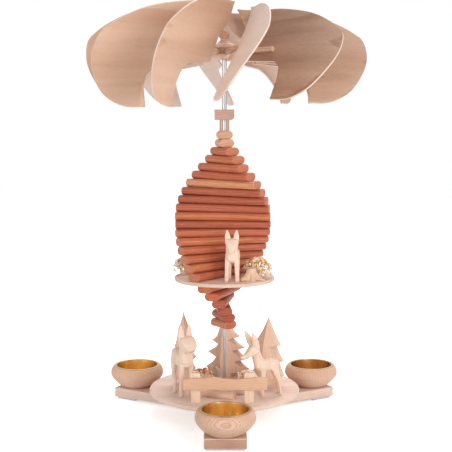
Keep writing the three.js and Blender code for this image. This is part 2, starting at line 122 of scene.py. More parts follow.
def calc(tree, operation, a, b=0.5, c=0.0):
    return add(tree, "ShaderNodeMath", {0: a, 1: b, 2: c}, operation=operation).outputs[0]


def vector(tree, operation, inputs):
    return add(tree, "ShaderNodeVectorMath", inputs, operation=operation).outputs[0]


def stretched(tree, coord, factors):
    """Coordinates in which a pattern is drawn out along the axes with a factor below 1."""
    return vector(tree, "MULTIPLY", {0: coord, 1: factors})


def noise(tree, coord, scale, detail, roughness=0.5, output="Fac"):
    inputs = {"Vector": coord, "Scale": scale, "Detail": detail, "Roughness": roughness}
    return add(tree, "ShaderNodeTexNoise", inputs).outputs[output]


def bumped(tree, shader, height, strength, depth):
    bump = add(tree, "ShaderNodeBump", {"Height": height, "Strength": strength, "Distance": depth * MM})
    tree.links.new(bump.outputs[0], shader.inputs["Normal"])


def seen_directly(tree):
    """1 on rays that show the background: from the camera, mirrored, or through glass."""
    path = add(tree, "ShaderNodeLightPath")
    eye, mirror, glass = (path.outputs[f"Is {kind} Ray"] for kind in ("Camera", "Glossy", "Transmission"))
    return calc(tree, "MAXIMUM", eye, calc(tree, "MAXIMUM", mirror, glass))


def wood(name, pale, dark, line, rings=380, ring_mix=0.5, rough=0.62, pores=0.35, flecks=0, wave=6,
         stretch=0.12):
    """Solid wood from three sRGB tones: clouds from pale to dark, then rings, fibres and flecks in line.
    The attribute 'grain' has metres along the grain in x and across it in y and z."""
    pale, dark, line = srgb(*pale), srgb(*dark), srgb(*line)
    mat, tree, shader = nodes_of(name)
    grain = add(tree, "ShaderNodeAttribute", attribute_name="grain").outputs["Vector"]
    slow = stretched(tree, grain, (stretch, 1, 1))
    warp = vector(tree, "SUBTRACT", {0: noise(tree, slow, 55, 2, output="Color"), 1: (0.5, 0.5, 0.5)})
    bent = vector(tree, "ADD", {0: slow, 1: vector(tree, "SCALE", {0: warp, "Scale": wave * MM})})
    band = add(tree, "ShaderNodeTexWave",
               {"Vector": bent, "Scale": rings / 2, "Distortion": 1.2, "Detail": 3, "Detail Scale": 1.4},
               bands_direction="Z", wave_profile="SAW").outputs["Fac"]
    ring = ramp(tree, band, [(0.0, BLACK), (0.55, grey(0.25)), (0.93, WHITE), (1.0, grey(0.2))])
    cloud = ramp(tree, noise(tree, slow, 38, 3, 0.6), [(0.35, BLACK), (0.68, WHITE)])
    base = mix(tree, cloud, pale, dark)
    base = mix(tree, calc(tree, "MULTIPLY", ring, ring_mix), base, line)
    fibre = noise(tree, stretched(tree, grain, (0.045, 1, 1)), 2600, 2)
    streak = ramp(tree, fibre, [(0.42, BLACK), (0.72, WHITE)])
    base = mix(tree, calc(tree, "MULTIPLY", streak, pores), base, line, "MULTIPLY")
    if flecks:
        dash = stretched(tree, grain, (0.22, 1, 1))
        cell = add(tree, "ShaderNodeTexVoronoi", {"Vector": dash, "Scale": 900, "Randomness": 1})
        mark = ramp(tree, cell.outputs["Distance"], [(0.10, WHITE), (0.22, BLACK)])
        base = mix(tree, calc(tree, "MULTIPLY", mark, flecks), base, line, "MULTIPLY")
    tree.links.new(base, shader.inputs["Base Color"])
    shader.inputs["Roughness"].default_value = rough
    shader.inputs["Specular IOR Level"].default_value = 0.32
    bumped(tree, shader, calc(tree, "ADD", streak, calc(tree, "MULTIPLY", ring, 0.5)), 0.18, 0.12)
    return mat


def metal(name, tone, rough, lines=0.0):
    """Metal of an sRGB tone with a faint haze, and with fine lines along z where lines is their strength."""
    colour = srgb(*tone)
    hazed = tuple(c * 0.96 for c in colour[:3]) + (1,)
    mat, tree, shader = nodes_of(name)
    shader.inputs["Metallic"].default_value = 1.0
    coord = add(tree, "ShaderNodeTexCoord").outputs["Object"]
    drawn = stretched(tree, coord, (1, 1, 0.06 if lines else 0.25))
    haze = noise(tree, drawn, 220, 4)
    worn = mix(tree, ramp(tree, haze, [(0.4, BLACK), (0.7, WHITE)]), colour, hazed)
    tree.links.new(worn, shader.inputs["Base Color"])
    tree.links.new(calc(tree, "MULTIPLY_ADD", haze, 0.03, rough - 0.015), shader.inputs["Roughness"])
    if lines:
        bumped(tree, shader, noise(tree, drawn, 2400, 2), lines, 0.05)
    return mat


def felt(name, dark, pale):
    mat, tree, shader = nodes_of(name)
    coord = add(tree, "ShaderNodeTexCoord").outputs["Object"]
    fuzz = noise(tree, coord, 1400, 6, 0.7)
    tree.links.new(ramp(tree, fuzz, [(0.3, srgb(*dark)), (0.7, srgb(*pale))]), shader.inputs["Base Color"])
    shader.inputs["Roughness"].default_value = 0.95
    bumped(tree, shader, fuzz, 0.5, 0.3)
    return mat


# -------- materials
SANDED = {"rings": 260, "ring_mix": 0.28, "pores": 0.25, "flecks": 0.22, "rough": 0.66}
BEECH = wood("beech", (238, 214, 200), (226, 198, 183), (203, 168, 148), **SANDED)
BEECH_SHADE = wood("beech_shade", (214, 182, 163), (202, 166, 147), (176, 136, 116), **SANDED)
STAGE = wood("stage_beech", (232, 207, 192), (220, 191, 175), (200, 162, 142), **SANDED)
BEECH_END = wood("beech_end", (214, 177, 156), (194, 152, 131), (132, 86, 68),
                 rings=420, ring_mix=0.85, pores=0.4, rough=0.7)
TURNED = wood("turned_beech", (228, 192, 168), (210, 170, 144), (170, 126, 100),
              rings=420, pores=0.4, flecks=0.25)
TURNED_SIDE = wood("turned_beech_side", (228, 192, 168), (212, 172, 146), (186, 142, 116),
                   rings=230, ring_mix=0.16, pores=0.4)
# blade woods in four tones of painted light and shade: the blades to the right get the darker tones, the front and
# back blades the palest; ring and pore strengths follow each blade's streaks
BLADE_LIGHT_TONES = [
    wood(f"blade_beech_painted_light_{i}", *tones, rings=110, ring_mix=ring_mix, pores=pores, rough=0.5, wave=9, stretch=0.05)
    for i, (ring_mix, pores, *tones) in enumerate([
        (0.30, 0.12, (222, 188, 164), (200, 160, 133), (172, 124, 94)),
        (0.50, 0.25, (196, 160, 136), (172, 133, 108), (134, 92, 70)),
        (0.42, 0.18, (210, 176, 152), (190, 150, 125), (154, 110, 84)),
        (0.20, 0.10, (234, 211, 198), (220, 193, 178), (196, 162, 146)),
    ])
]
EDGE = wood("cut_edge", (230, 208, 196), (222, 196, 182), (204, 172, 154),
            rings=600, ring_mix=0.2, pores=0.2, rough=0.6)
CARVED = wood("carved_lime", (241, 218, 200), (234, 206, 186), (210, 170, 144),
              rings=330, ring_mix=0.3, pores=0.25, rough=0.68)
TREE = wood("tree_lime", (232, 202, 180), (222, 188, 164), (196, 150, 124),
            rings=300, ring_mix=0.3, pores=0.25, rough=0.68)
CURL = {"rings": 300, "ring_mix": 0.25, "pores": 0.15}
SHAVINGS = [
    wood("shaving_pale", (254, 246, 230), (250, 236, 212), (242, 218, 182), **CURL),
    wood("shaving_gold", (252, 204, 136), (246, 180, 100), (226, 146, 70), **CURL),
    wood("shaving_rust", (228, 146, 92), (212, 118, 68), (176, 84, 48), **CURL),
    wood("twig_bark", (206, 176, 154), (190, 158, 136), (150, 118, 98), rings=300),
]
PALE, GOLD, RUST, TWIG = range(4)  # places in SHAVINGS
BARK = wood("grey_bark", (226, 206, 194), (206, 184, 170), (150, 126, 110),
            rings=300, ring_mix=0.6, rough=0.8, flecks=0.4)
POST = wood("post_lime", (244, 224, 200), (238, 213, 187), (220, 180, 148),
            rings=600, ring_mix=0.45, rough=0.66)
LOG = wood("log_lime", (242, 212, 190), (232, 198, 174), (204, 158, 130), rings=360, ring_mix=0.4, rough=0.7)
STUMP = wood("stump_lime", (234, 203, 176), (224, 187, 157), (198, 152, 118),
             rings=300, ring_mix=0.35, pores=0.25, rough=0.68)
PLANK = wood("fence_lime", (229, 191, 160), (218, 176, 145), (192, 142, 110),
             rings=300, ring_mix=0.4, pores=0.3, rough=0.68)
SLATS = [
    wood(f"slat_wood_{i}", *tones, rings=230, pores=0.4, rough=0.5, wave=9, flecks=flecks)
    for i, (flecks, *tones) in enumerate([
        (0.15, (208, 124, 90), (192, 102, 72), (144, 66, 44)),
        (0.15, (214, 134, 94), (198, 112, 74), (152, 74, 48)),
        (0.15, (194, 110, 82), (178, 92, 66), (130, 60, 42)),
        (0.15, (226, 164, 130), (210, 142, 108), (160, 98, 70)),
        (0.15, (228, 184, 154), (214, 164, 132), (180, 126, 96)),
        (0.15, (226, 166, 124), (212, 146, 104), (168, 100, 68)),
        (0.70, (186, 104, 76), (168, 84, 60), (112, 50, 36)),
    ])
]
SLAT_END = wood("slat_end", (208, 138, 105), (194, 120, 88), (150, 84, 58), rings=420, pores=0.4)
HUB_WOOD = wood("hub_beech", (230, 194, 172), (216, 176, 154), (178, 130, 106), rings=320, ring_mix=0.35)
# a darker wood for the hub's core: painted shade of the notches under the cap
HUB_CORE_SHADE = wood("hub_core_painted_shade", (204, 166, 140), (186, 144, 118), (134, 92, 70), rings=420)
DRIVER = wood("driver_wood", (208, 172, 155), (194, 152, 135), (170, 124, 106), rings=360)
KNOB = wood("knob_wood", (222, 178, 150), (208, 160, 132), (168, 120, 94), rings=320, ring_mix=0.4)
STEM = wood("stem_wood", (224, 188, 162), (208, 168, 142), (168, 124, 98), rings=320, ring_mix=0.4)
BRASS = metal("brass", (228, 193, 128), 0.27)
# a darker copy of the brass: painted shade for the right insert
BRASS_SHADED = metal("brass_painted_shade", (208, 166, 112), 0.27)
RIM = metal("brass_rim", (186, 160, 120), 0.3)
STEEL = metal("drawn_steel", (174, 170, 170), 0.28, 0.01)
FELT = felt("felt", (186, 188, 196), (226, 227, 234))
GLASS, _, _clear = nodes_of("bearing_glass")
for _socket, _value in {"Base Color": (0.93, 0.96, 0.97, 1), "Roughness": 0.04, "Transmission Weight": 1.0,
                        "IOR": 1.5}.items():
    _clear.inputs[_socket].default_value = _value


# -------- mesh helpers
def raw_mesh(name, verts, faces):
    mesh = bpy.data.meshes.new(name)
    mesh.from_pydata([tuple(v) for v in verts], [], faces)
    return mesh


def outward(mesh):
    work = bmesh.new()
    work.from_mesh(mesh)
    bmesh.ops.recalc_face_normals(work, faces=work.faces)
    work.to_mesh(mesh)
    work.free()
    return mesh


def applied(obj):
    """A new mesh of the object as its modifiers leave it."""
    bpy.context.view_layer.update()
    return bpy.data.meshes.new_from_object(obj.evaluated_get(bpy.context.evaluated_depsgraph_get()))


def joined(parts):
    verts, faces = [], []
    for part_verts, part_faces in parts:
        faces += [tuple(i + len(verts) for i in face) for face in part_faces]
        verts += list(part_verts)
    return verts, faces


def turn(angle, at=(0, 0, 0)):
    """The place of a piece that is turned by degrees about the upright and set down at a point."""
    return Matrix.Translation([c * MM for c in at]) @ Matrix.Rotation(math.radians(angle), 4, "Z")


def circle(sides):
    return [2 * math.pi * k / sides for k in range(sides)]


def walls(rings, sides):
    """Faces between rings of points that follow each other in one list."""
    return [(r * sides + k, r * sides + (k + 1) % sides, (r + 1) * sides + (k + 1) % sides, (r + 1) * sides + k)
            for r in range(rings - 1) for k in range(sides)]


def ends(rings, sides):
    """The first and the last ring as faces."""
    return [tuple(range(sides))[::-1], tuple(range((rings - 1) * sides, rings * sides))]


def prism(points, low, high):
    """Upright prism over an outline of (x, y)."""
    verts = [(x * MM, y * MM, z * MM) for z in (low, high) for x, y in points]
    return verts, ends(2, len(points)) + walls(2, len(points))


def board(outline, near, far):
    """Board with an outline of (x, z), from y = near to y = far."""
    n = len(outline)
    verts = [(x * MM, y * MM, z * MM) for y in (near, far) for x, z in outline]
    faces = [tuple(range(n)), tuple(range(n, 2 * n))[::-1]]
    return verts, faces + [(i, n + i, n + (i + 1) % n, (i + 1) % n) for i in range(n)]


GRAIN_AXES = {"x": (0, 1, 2), "y": (1, 0, 2), "z": (2, 0, 1), "t": (0, 2, 1), "u": (1, 2, 0)}


def dress(obj, body, replaces=(), grain="x", seed=0, angle=35, slant=0):
    """Smooth normals, wood direction and body for a finished mesh. The grain's letter says which axes
    lie along the fibres, across them and through the rings, and slant turns the rings by degrees."""
    mesh = obj.data
    mesh.polygons.foreach_set("use_smooth", [True] * len(mesh.polygons))
    mesh.set_sharp_from_angle(angle=math.radians(angle))
    rng = random.Random(seed + 17)
    offset = [rng.uniform(0, 1) for _ in range(3)]
    order = GRAIN_AXES[grain]
    cos, sin = math.cos(math.radians(slant)), math.sin(math.radians(slant))
    values = []
    for vert in mesh.vertices:
        along, across, up = (vert.co[axis] + offset[i] for i, axis in enumerate(order))
        values.extend((along, across * cos - up * sin, across * sin + up * cos))
    mesh.attributes.new("grain", "FLOAT_VECTOR", "POINT").data.foreach_set("vector", values)
    if replaces:
        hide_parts(*replaces)
    bpy.context.view_layer.update()
    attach(obj, body)
    return obj


def finish_mesh(name, verts, faces, material, body, slot, place=None, replaces=(), bevel=0.0, segments=2,
                angle=35, grain="x", seed=0, face_materials=None, slant=0):
    """One piece from points in metres. material may be a list, from which face_materials chooses.
    Edges sharper than angle stay sharp, or are bevelled by so many millimetres."""
    obj = placed(name, raw_mesh(name, verts, faces))
    mesh = obj.data
    for mat in material if isinstance(material, list) else [material]:
        mesh.materials.append(mat)
    if face_materials is not None:
        mesh.polygons.foreach_set("material_index", face_materials)
    work = bmesh.new()
    work.from_mesh(mesh)
    bmesh.ops.remove_doubles(work, verts=work.verts, dist=1e-7)
    bmesh.ops.recalc_face_normals(work, faces=work.faces)
    if bevel:
        sharp = [e for e in work.edges if len(e.link_faces) == 2 and e.calc_face_angle(0) > math.radians(angle)]
        bmesh.ops.bevel(work, geom=sharp, offset=bevel * MM, segments=segments, profile=0.5, affect="EDGES",
                        clamp_overlap=True)
    work.to_mesh(mesh)
    work.free()
    if place is not None:
        obj.matrix_world = place
    return dress(obj, body, replaces, grain, seed, angle, slant)


def fillet(profile, radius, steps=4):
    """Rounds the inner corners of an open profile of (r, z) points. A third value is a corner's own radius."""
    out = [profile[0]]
    for before, here, after in zip(profile, profile[1:], profile[2:]):
        a, b, c = (Vector(p[:2]) for p in (before, here, after))
        reach = here[2] if len(here) > 2 else radius
        la, lc = (a - b).length, (c - b).length
        reach = min(reach, la * 0.45, lc * 0.45)
        if reach < 1e-6:
            out.append(tuple(b))
            continue
        p, q = b + (a - b) / la * reach, b + (c - b) / lc * reach
        for i in range(steps + 1):
            t = i / steps
            out.append(tuple((1 - t) ** 2 * p + 2 * t * (1 - t) * b + t * t * q))
    out.append(profile[-1][:2])
    return [tuple(p[:2]) for p in out]


def lathe(name, profile, material, body, slot, centre=(0, 0, 0), sides=96, closed=False, second=None, **more):
    """Turns a profile of (r, z) about an upright axis. Points on the axis close it, and so does closed.
    The faces whose middle (r, z) passes the test second get the second material."""
    verts, faces, rings = [], [], []
    for r, z in profile:
        start = len(verts)
        if r < 1e-6:
            verts.append((0, 0, z * MM))
        else:
            verts.extend((r * MM * math.cos(a), r * MM * math.sin(a), z * MM) for a in circle(sides))
        rings.append(list(range(start, len(verts))))
    pairs = list(zip(rings, rings[1:])) + ([(rings[-1], rings[0])] if closed else [])
    if second:
        loop = profile + profile[:1]
        more["face_materials"] = []
        for (r0, z0), (r1, z1) in list(zip(loop, loop[1:]))[:len(pairs)]:
            more["face_materials"] += [int(second((r0 + r1) / 2, (z0 + z1) / 2))] * sides
    for low, high in pairs:
        for i in range(sides):
            corners = [ring[k % len(ring)] for ring, k in ((low, i), (low, i + 1), (high, i + 1), (high, i))]
            face = tuple(dict.fromkeys(corners))  # a triangle where a ring is one point on the axis
            if len(face) > 2:
                faces.append(face)
    return finish_mesh(name, verts, faces, material, body, slot, place=turn(0, centre), **more)


def spline(points, per=8):
    """Open Catmull-Rom curve through points of any dimension."""
    pts = [Vector(p) for p in points]
    out = []
    for i in range(len(pts) - 1):
        p1, p2 = pts[i], pts[i + 1]
        p0 = pts[i - 1] if i > 0 else p1 * 2 - p2
        p3 = pts[i + 2] if i + 2 < len(pts) else p2 * 2 - p1
        for k in range(per):
            t = k / per
            out.append(0.5 * ((2 * p1) + (p2 - p0) * t + (2 * p0 - 5 * p1 + 4 * p2 - p3) * t * t
                              + (3 * p1 - p0 - 3 * p2 + p3) * t ** 3))
    out.append(pts[-1])
    return out


# -------- base
PAD_TOP, ARM_TOP, PLATE_LOW, PLATE_TOP, BOWL_TOP = 2, 11.14, 19.6, 23.4, 32.14
ARM_HALF, ARM_REACH, PAD_HALF = 18.5, 117.3, 17
PLATE_RADIUS, BOSS_RADIUS = 72.1, 32
BOWL_RING = 102.4  # from the spin axis to a bowl's axis
BOWL_SIDE = spline([(14.5, 0.6), (17.8, 2.2), (22.6, 6.6), (25.9, 11.2), (26.5, 14.1), (25.9, 17.6), (24.4, 20.2),
                    (23.3, 21)], 6)
for index, side in enumerate(("front", "right", "left")):
    heading = -90 + 120 * index
    mitre = ARM_HALF / math.tan(math.pi / 3) + 0.15
    outline = [(0.15, 0), (mitre, -ARM_HALF), (ARM_REACH, -ARM_HALF), (ARM_REACH, ARM_HALF), (mitre, ARM_HALF)]
    top_shade = 0 if index else 2  # only the front arm's top lies in the bowl's shade
    # the rings lie at a slant across the arm's end
    finish_mesh(f"arm_{side}_board", *prism(outline, PAD_TOP, ARM_TOP), [BEECH, BEECH_END, BEECH_SHADE], "base",
                "beech", place=turn(heading), replaces=[f"arm_{side}"], face_materials=[0, top_shade, 0, 0, 1, 0, 0],
                bevel=0.5, segments=3, seed=index, slant=-28)
    pad = prism([(93, -PAD_HALF), (114.5, -PAD_HALF), (114.5, PAD_HALF), (93, PAD_HALF)], 0, PAD_TOP)
    finish_mesh(f"felt_pad_{side}", *pad, FELT, "base", "beech", place=turn(heading), bevel=0.35)
    at = (BOWL_RING * math.cos(math.radians(heading)), BOWL_RING * math.sin(math.radians(heading)), 0)
    bowl = [(0, ARM_TOP), (13.9, ARM_TOP), (14.4, ARM_TOP + 0.3)] + [(p[0], p[1] + ARM_TOP) for p in BOWL_SIDE]
    bowl += [(21.4, BOWL_TOP), (20.9, BOWL_TOP - 0.5), (20.9, 16.6), (0, 16.6)]
    lathe(f"bowl_{side}_turned", bowl, TURNED_SIDE if index else TURNED, "base", "beech", centre=at,
          replaces=[f"bowl_{side}"], grain="u" if index else "t", seed=index + 5, angle=50)
    cup = fillet([(0, 17.14), (20.55, 17.14, 1.6), (20.6, BOWL_TOP - 0.1, 0.3), (23, BOWL_TOP + 0.05, 0.25),
                  (23.1, BOWL_TOP + 0.6, 0.25), (20.5, BOWL_TOP + 0.75, 0.5), (20, 17.8, 1.2), (0, 17.8)], 0.3, 5)
    # the right insert gets the darker brass, which paints the shade on that side
    lathe(f"insert_{side}_brass", cup, [BRASS_SHADED if side == "right" else BRASS, RIM], f"insert_{side}", "brass",
          centre=at, replaces=[f"insert_{side}"], second=lambda r, z: z > BOWL_TOP - 0.3 and r > 20.2, angle=60)

plate = [(0, ARM_TOP), (BOSS_RADIUS, ARM_TOP, 0.3), (BOSS_RADIUS, PLATE_LOW, 0.3), (PLATE_RADIUS, PLATE_LOW, 1.3),
         (PLATE_RADIUS, PLATE_TOP, 1.1), (1.9, PLATE_TOP, 0.2), (1.9, 14.2), (0, 14.2)]
lathe("scene_plate_turned", fillet(plate, 0.8, 5), BEECH, "base", "beech", replaces=["scene_plate"], sides=160,
      seed=31)
lathe("needle_rod_drawn", [(0, 14.4), (1.5, 14.4), (1.5, 337), (0.3, 344.1), (0, 344.1)], STEEL, "base", "steel",
      replaces=["needle_rod"], sides=32)

# -------- rotor: tube, slats, stage
STACK_TOP, STAGE_LOW, STAGE_TOP, STAGE_RADIUS = 270.02, 128.28, 131.78, 47.8
lathe("spindle_tube_drawn", [(1.85, 82.2), (2.25, 82.2), (2.25, 339.5), (1.85, 339.5)], STEEL, "rotor", "steel",
      replaces=["spindle_tube"], sides=40, closed=True)

# slats from the top down: 18 above the stage, which turn evenly, and 6 below it
PITCH, RADIUS, FLAT = 7.68, 3.84, 3.16  # a slat's height, its sides' radius and half its flat top
LENGTHS = [12, 17, 35, 48, 58, 68.5, 76.5, 82, 86, 88.5, 90, 90, 90, 90, 90, 90, 89.5, 88.5,
           75.6, 65.7, 54, 41.4, 28, 23]
ANGLES = [7.8 * (i - 10.3) for i in range(18)] + [61, 70, 81, 94, 110, 129]
MIDDLES = ([STACK_TOP - (i + 0.5) * PITCH for i in range(18)]
           + [STAGE_LOW - (i + 0.5) * PITCH for i in range(6)])
ASIDE = [0] * 4 + [-1.5] * 14 + [-1] * 6
TONES = [4, 4, 0, 1, 0, 0, 5, 2, 2, 2, 1, 2, 0, 1, 0, 0, 1, 0, 1, 0, 6, 6, 6, 3]
END_TONES = [SLATS[4]] * 2 + [SLAT_END] * 16 + [SLATS[i] for i in (1, 0, 6, 6, 6, 0)]
ARC = [math.radians(-90 + 180 * k / 12) for k in range(13)]
SECTION = [(s * (FLAT + RADIUS * math.cos(a)), s * RADIUS * math.sin(a)) for s in (1, -1) for a in ARC]
for i, length in enumerate(LENGTHS):
    stations = [-0.5, -0.5 + 0.5 / length, -0.3, -0.1, 0.1, 0.3, 0.5 - 0.5 / length, 0.5]
    verts = []
    for share in stations:
        inset = 0.45 if abs(share) == 0.5 else 0
        for y, z in SECTION:
            k = 1 - inset / math.hypot(y, z)
            verts.append((share * length * MM, y * k * MM, z * k * MM))
    sides, caps = walls(len(stations), len(SECTION)), ends(len(stations), len(SECTION))
    finish_mesh(f"slat_{i + 1:02d}_rounded", verts, sides + caps, [SLATS[TONES[i]], END_TONES[i]], "rotor",
                "tan_wood" if i < 2 else "slat_wood", place=turn(ANGLES[i], (ASIDE[i], 0, MIDDLES[i])),
                replaces=[f"slat_{i + 1:02d}"], face_materials=[0] * len(sides) + [1, 1], seed=100 + i, angle=40)

stage = [(2.55, STAGE_LOW), (STAGE_RADIUS, STAGE_LOW, 1.1), (STAGE_RADIUS, STAGE_TOP, 1.1), (2.55, STAGE_TOP)]
lathe("stage_plate_turned", fillet(stage, 0.9, 5), STAGE, "rotor", "beech", replaces=["stage_plate"], sides=128,
      closed=True, seed=41)

# -------- hub, cap, bearing, driver
HUB_LOW, HUB_TOP, STEM_Z = 336.6, 346.6, 342.5
BLADES, FIRST_BLADE, BLADE_STEP = 10, -81, 36
profile = fillet([(2.55, HUB_LOW), (15.6, HUB_LOW, 0.9), (15.6, 340.6, 0.9), (13.6, 341, 0.4),
                  (13.6, HUB_TOP, 0.3), (4.3, HUB_TOP), (4.3, 339.5), (2.55, 339.5)], 0.5, 4)
# the core's upright face gets the darker wood, which paints the shade of its notches
hub = lathe("hub_turned", profile, [HUB_WOOD, HUB_CORE_SHADE], "rotor", "beech", replaces=["hub"],
            second=lambda r, z: 13.3 < r < 15 and z > 340.9, sides=120, closed=True, grain="t", seed=51)


def hole(radius, start, end, heading, z, sides=20):
    """A lying cylinder from start to end along a heading, to cut with."""
    place = turn(heading, (0, 0, z))
    verts = [place @ Vector((x * MM, radius * MM * math.cos(a), radius * MM * math.sin(a)))
             for x in (start, end) for a in circle(sides)]
    return verts, ends(2, sides) + walls(2, sides)


def drill(target, holes):
    """Cuts holes into a finished piece, leaving no modifier."""
    tool = placed("cutter", raw_mesh("cutter", *joined(holes)))
    cut = target.modifiers.new("cut", "BOOLEAN")
    cut.operation, cut.solver, cut.use_self, cut.object = "DIFFERENCE", "EXACT", True, tool
    made = applied(target)
    target.modifiers.clear()
    spare = [target.data, tool.data]
    target.data = made
    bpy.data.objects.remove(tool)
    for mesh in spare:
        bpy.data.meshes.remove(mesh)
    made.set_sharp_from_angle(angle=math.radians(35))


drill(hub, [hole(2.6, 8.4, 17, FIRST_BLADE + BLADE_STEP * k, STEM_Z) for k in range(BLADES)]
      + [hole(1.3, 12.4, 17, FIRST_BLADE + BLADE_STEP * (k + 0.5), 344.6) for k in range(BLADES)])

cap = fillet([(0, HUB_TOP), (12.9, HUB_TOP, 0.6), (12.9, 349.2, 0.7), (11.2, 349.8, 0.6), (7.2, 350.8, 1.2),
              (4.4, 353.2, 1.2), (3.3, 355, 0.6), (4.4, 356.5, 0.8), (4.9, 358.9, 1.8), (3.6, 361.8, 1.4),
              (1.7, 363.6, 0.6), (0, 364)], 1, 5)
lathe("hub_cap_turned", cap, [HUB_WOOD, KNOB], "rotor", "tan_wood", replaces=["hub_cap"],
      second=lambda r, z: z > 355, seed=61)
cup = fillet([(2.5, 339.8), (4, 339.8, 0.3), (4, 346.55, 0.3), (0, 346.55)], 0.3) + [(0, 344.4), (0.8, 344.4)]
lathe("glass_bearing_cup", cup, GLASS, "rotor", "glass", replaces=["glass_bearing"], sides=40, closed=True)

DRIVER_LOW, DRIVER_HALF, CORNER = 280.2, 9.15, 3.2  # the block's lower right corner is rounded
block = [(-DRIVER_HALF, 0), (DRIVER_HALF - CORNER, 0)]
block += [(DRIVER_HALF - CORNER + CORNER * math.sin(a), CORNER - CORNER * math.cos(a))
          for a in (math.radians(90 * k / 6) for k in range(1, 7))]
block += [(DRIVER_HALF, 9.6), (-DRIVER_HALF, 9.6)]
finish_mesh("driver_block_sawn", *board([(x, z + DRIVER_LOW) for x, z in block], -5, 5), DRIVER, "rotor",
            "tan_wood", replaces=["driver_block"], bevel=0.5, segments=3, seed=71, slant=20)
pin = fillet([(0, 265.1), (1, 265.1, 0.3), (1, 281), (0, 281)], 0.2)
for side, x in (("right", 3.6), ("left", -3.6)):
    lathe(f"driver_pin_{side}", pin, KNOB, "rotor", "tan_wood", centre=(x, 0, 0), sides=24, grain="z", seed=72)

# -------- blades
# Outline in shares of the reach along the stem and of the half width across it, from the hooked tip inwards.
BLADE_REACH, BLADE_HALF = 130, 50
OUTER = [(0.612, -1.02), (0.77, -1), (0.9, -0.8), (0.98, -0.45), (1.012, -0.08), (0.985, 0.28), (0.92, 0.46),
         (0.8, 0.65), (0.62, 0.83), (0.34, 0.95), (0.07, 0.95)]
INNER = [(0.612, -1.02), (0.614, -0.63), (0.58, -0.38), (0.52, -0.25), (0.42, -0.24), (0.23, -0.19),
         (0.225, 0.32), (0.16, 0.5), (0.125, 0.66), (0.1, 0.82), (0.07, 0.95)]
BLADE_TILT = 60
OWN_TILT = [-3, -6, -1, -4, -6, -3, 2, 7, 5, 10]  # each blade's own twist in the photograph
# which tone of painted light and shade each blade gets
BLADE_LIGHT_OF = [3, 1, 2, 2, 0, 3, 3, 0, 0, 0]
HALF_THICKNESS = (0.7, 1.05, 1.2)  # at the edge, one step in, and inside


def depth(u, v):
    """How far the bent sheet lies off its stem's plane, fitted to the photograph."""
    tip = max(0, 1 - u * BLADE_REACH / 26)
    return 5 * tip * tip - (4.7 - 8.7 * u + 10.3 * u * u + 3.8 * u * v - 4.9 * v ** 3 - 1.9 * u * u * v)


def blade_shape(per=6, rows=16):
    """A bowed half moon in the frame of its stem, and which of its faces are cut edges."""
    rim = spline(OUTER, per)
    inner = [Vector(a).lerp(Vector(b), k / per) for a, b in zip(INNER, INNER[1:]) for k in range(per)]
    inner.append(Vector(INNER[-1]))
    smooth = list(inner)
    for k in range(per, len(inner) - 2):
        if abs(k - 5 * per) >= 2:  # the corner beside the stem stays sharp
            smooth[k] = (inner[k - 1] + inner[k] * 2 + inner[k + 1]) / 4
    columns, step = len(rim), rows + 1
    verts, faces, marks = [], [], []
    for side in (1, -1):
        for c in range(columns):
            for r in range(step):
                p = smooth[c].lerp(rim[c], r / rows)
                half = HALF_THICKNESS[min(r, rows - r, 2)]
                z = depth(p[0], p[1]) + side * half
                verts.append((p[0] * BLADE_REACH * MM, p[1] * BLADE_HALF * MM, z * MM))
    under = columns * step
    for c in range(columns - 1):
        for r in range(rows):
            quad = (c * step + r, c * step + r + 1, (c + 1) * step + r + 1, (c + 1) * step + r)
            faces += [quad, tuple(under + quad[i] for i in (0, 3, 2, 1))]
            marks += [0, 0]
        for r in (0, rows):
            quad = (c * step + r, (c + 1) * step + r, under + (c + 1) * step + r, under + c * step + r)
            faces.append(quad if r else quad[::-1])
            marks.append(1)
    return verts, faces, marks


*blade, blade_marks = blade_shape()
stem = fillet([(0, 8.72), (2.3, 8.72, 0.4), (2.3, 61, 1.6), (0, 61)], 0.5)
for k in range(BLADES):
    number = f"{k + 1:02d}"
    place = (turn(FIRST_BLADE + BLADE_STEP * k, (0, 0, STEM_Z))
             @ Matrix.Rotation(math.radians(BLADE_TILT + OWN_TILT[k]), 4, "X"))
    # the blade's tone paints the light and shade that falls on it
    finish_mesh(f"blade_{number}_bowed", *blade, [BLADE_LIGHT_TONES[BLADE_LIGHT_OF[k]], EDGE], f"blade_{number}", "blade_wood",
                replaces=[f"blade_{number}"], place=place, face_materials=blade_marks, seed=200 + k, angle=50)
    rod = lathe(f"blade_stem_{number}", stem, STEM, f"blade_{number}", "blade_wood", sides=32, grain="z",
                seed=300 + k)
    rod.matrix_world = place @ Matrix.Rotation(math.radians(90), 4, "Y")


# -------- carved scene
def limb(*stations, sides=16, square=0.8):
    """A rounded tapering limb. A station is a point, half its width across y, and half its depth."""
    verts = []
    points = [Vector(s[0]) for s in stations]
    last = len(stations) - 1
    for i, (point, (_, across, deep)) in enumerate(zip(points, stations)):
        along = (points[min(i + 1, last)] - points[max(i - 1, 0)]).normalized()
        up = along.cross(Vector((0, 1, 0))).normalized()
        side = up.cross(along).normalized()
        rounding = {0: [(-0.72, 0.55), (0, 1)], last: [(0, 1), (0.72, 0.55)]}.get(i, [(0, 1)])
        for shift, size in rounding:
            centre = point + along * shift * min(across, deep)
            for a in circle(sides):
                c, s = (math.copysign(abs(v) ** square, v) for v in (math.cos(a), math.sin(a)))
                verts.append((centre + side * (c * across * size) + up * (s * deep * size)) * MM)
    rings = len(verts) // sides
    return verts, walls(rings, sides) + ends(rings, sides)


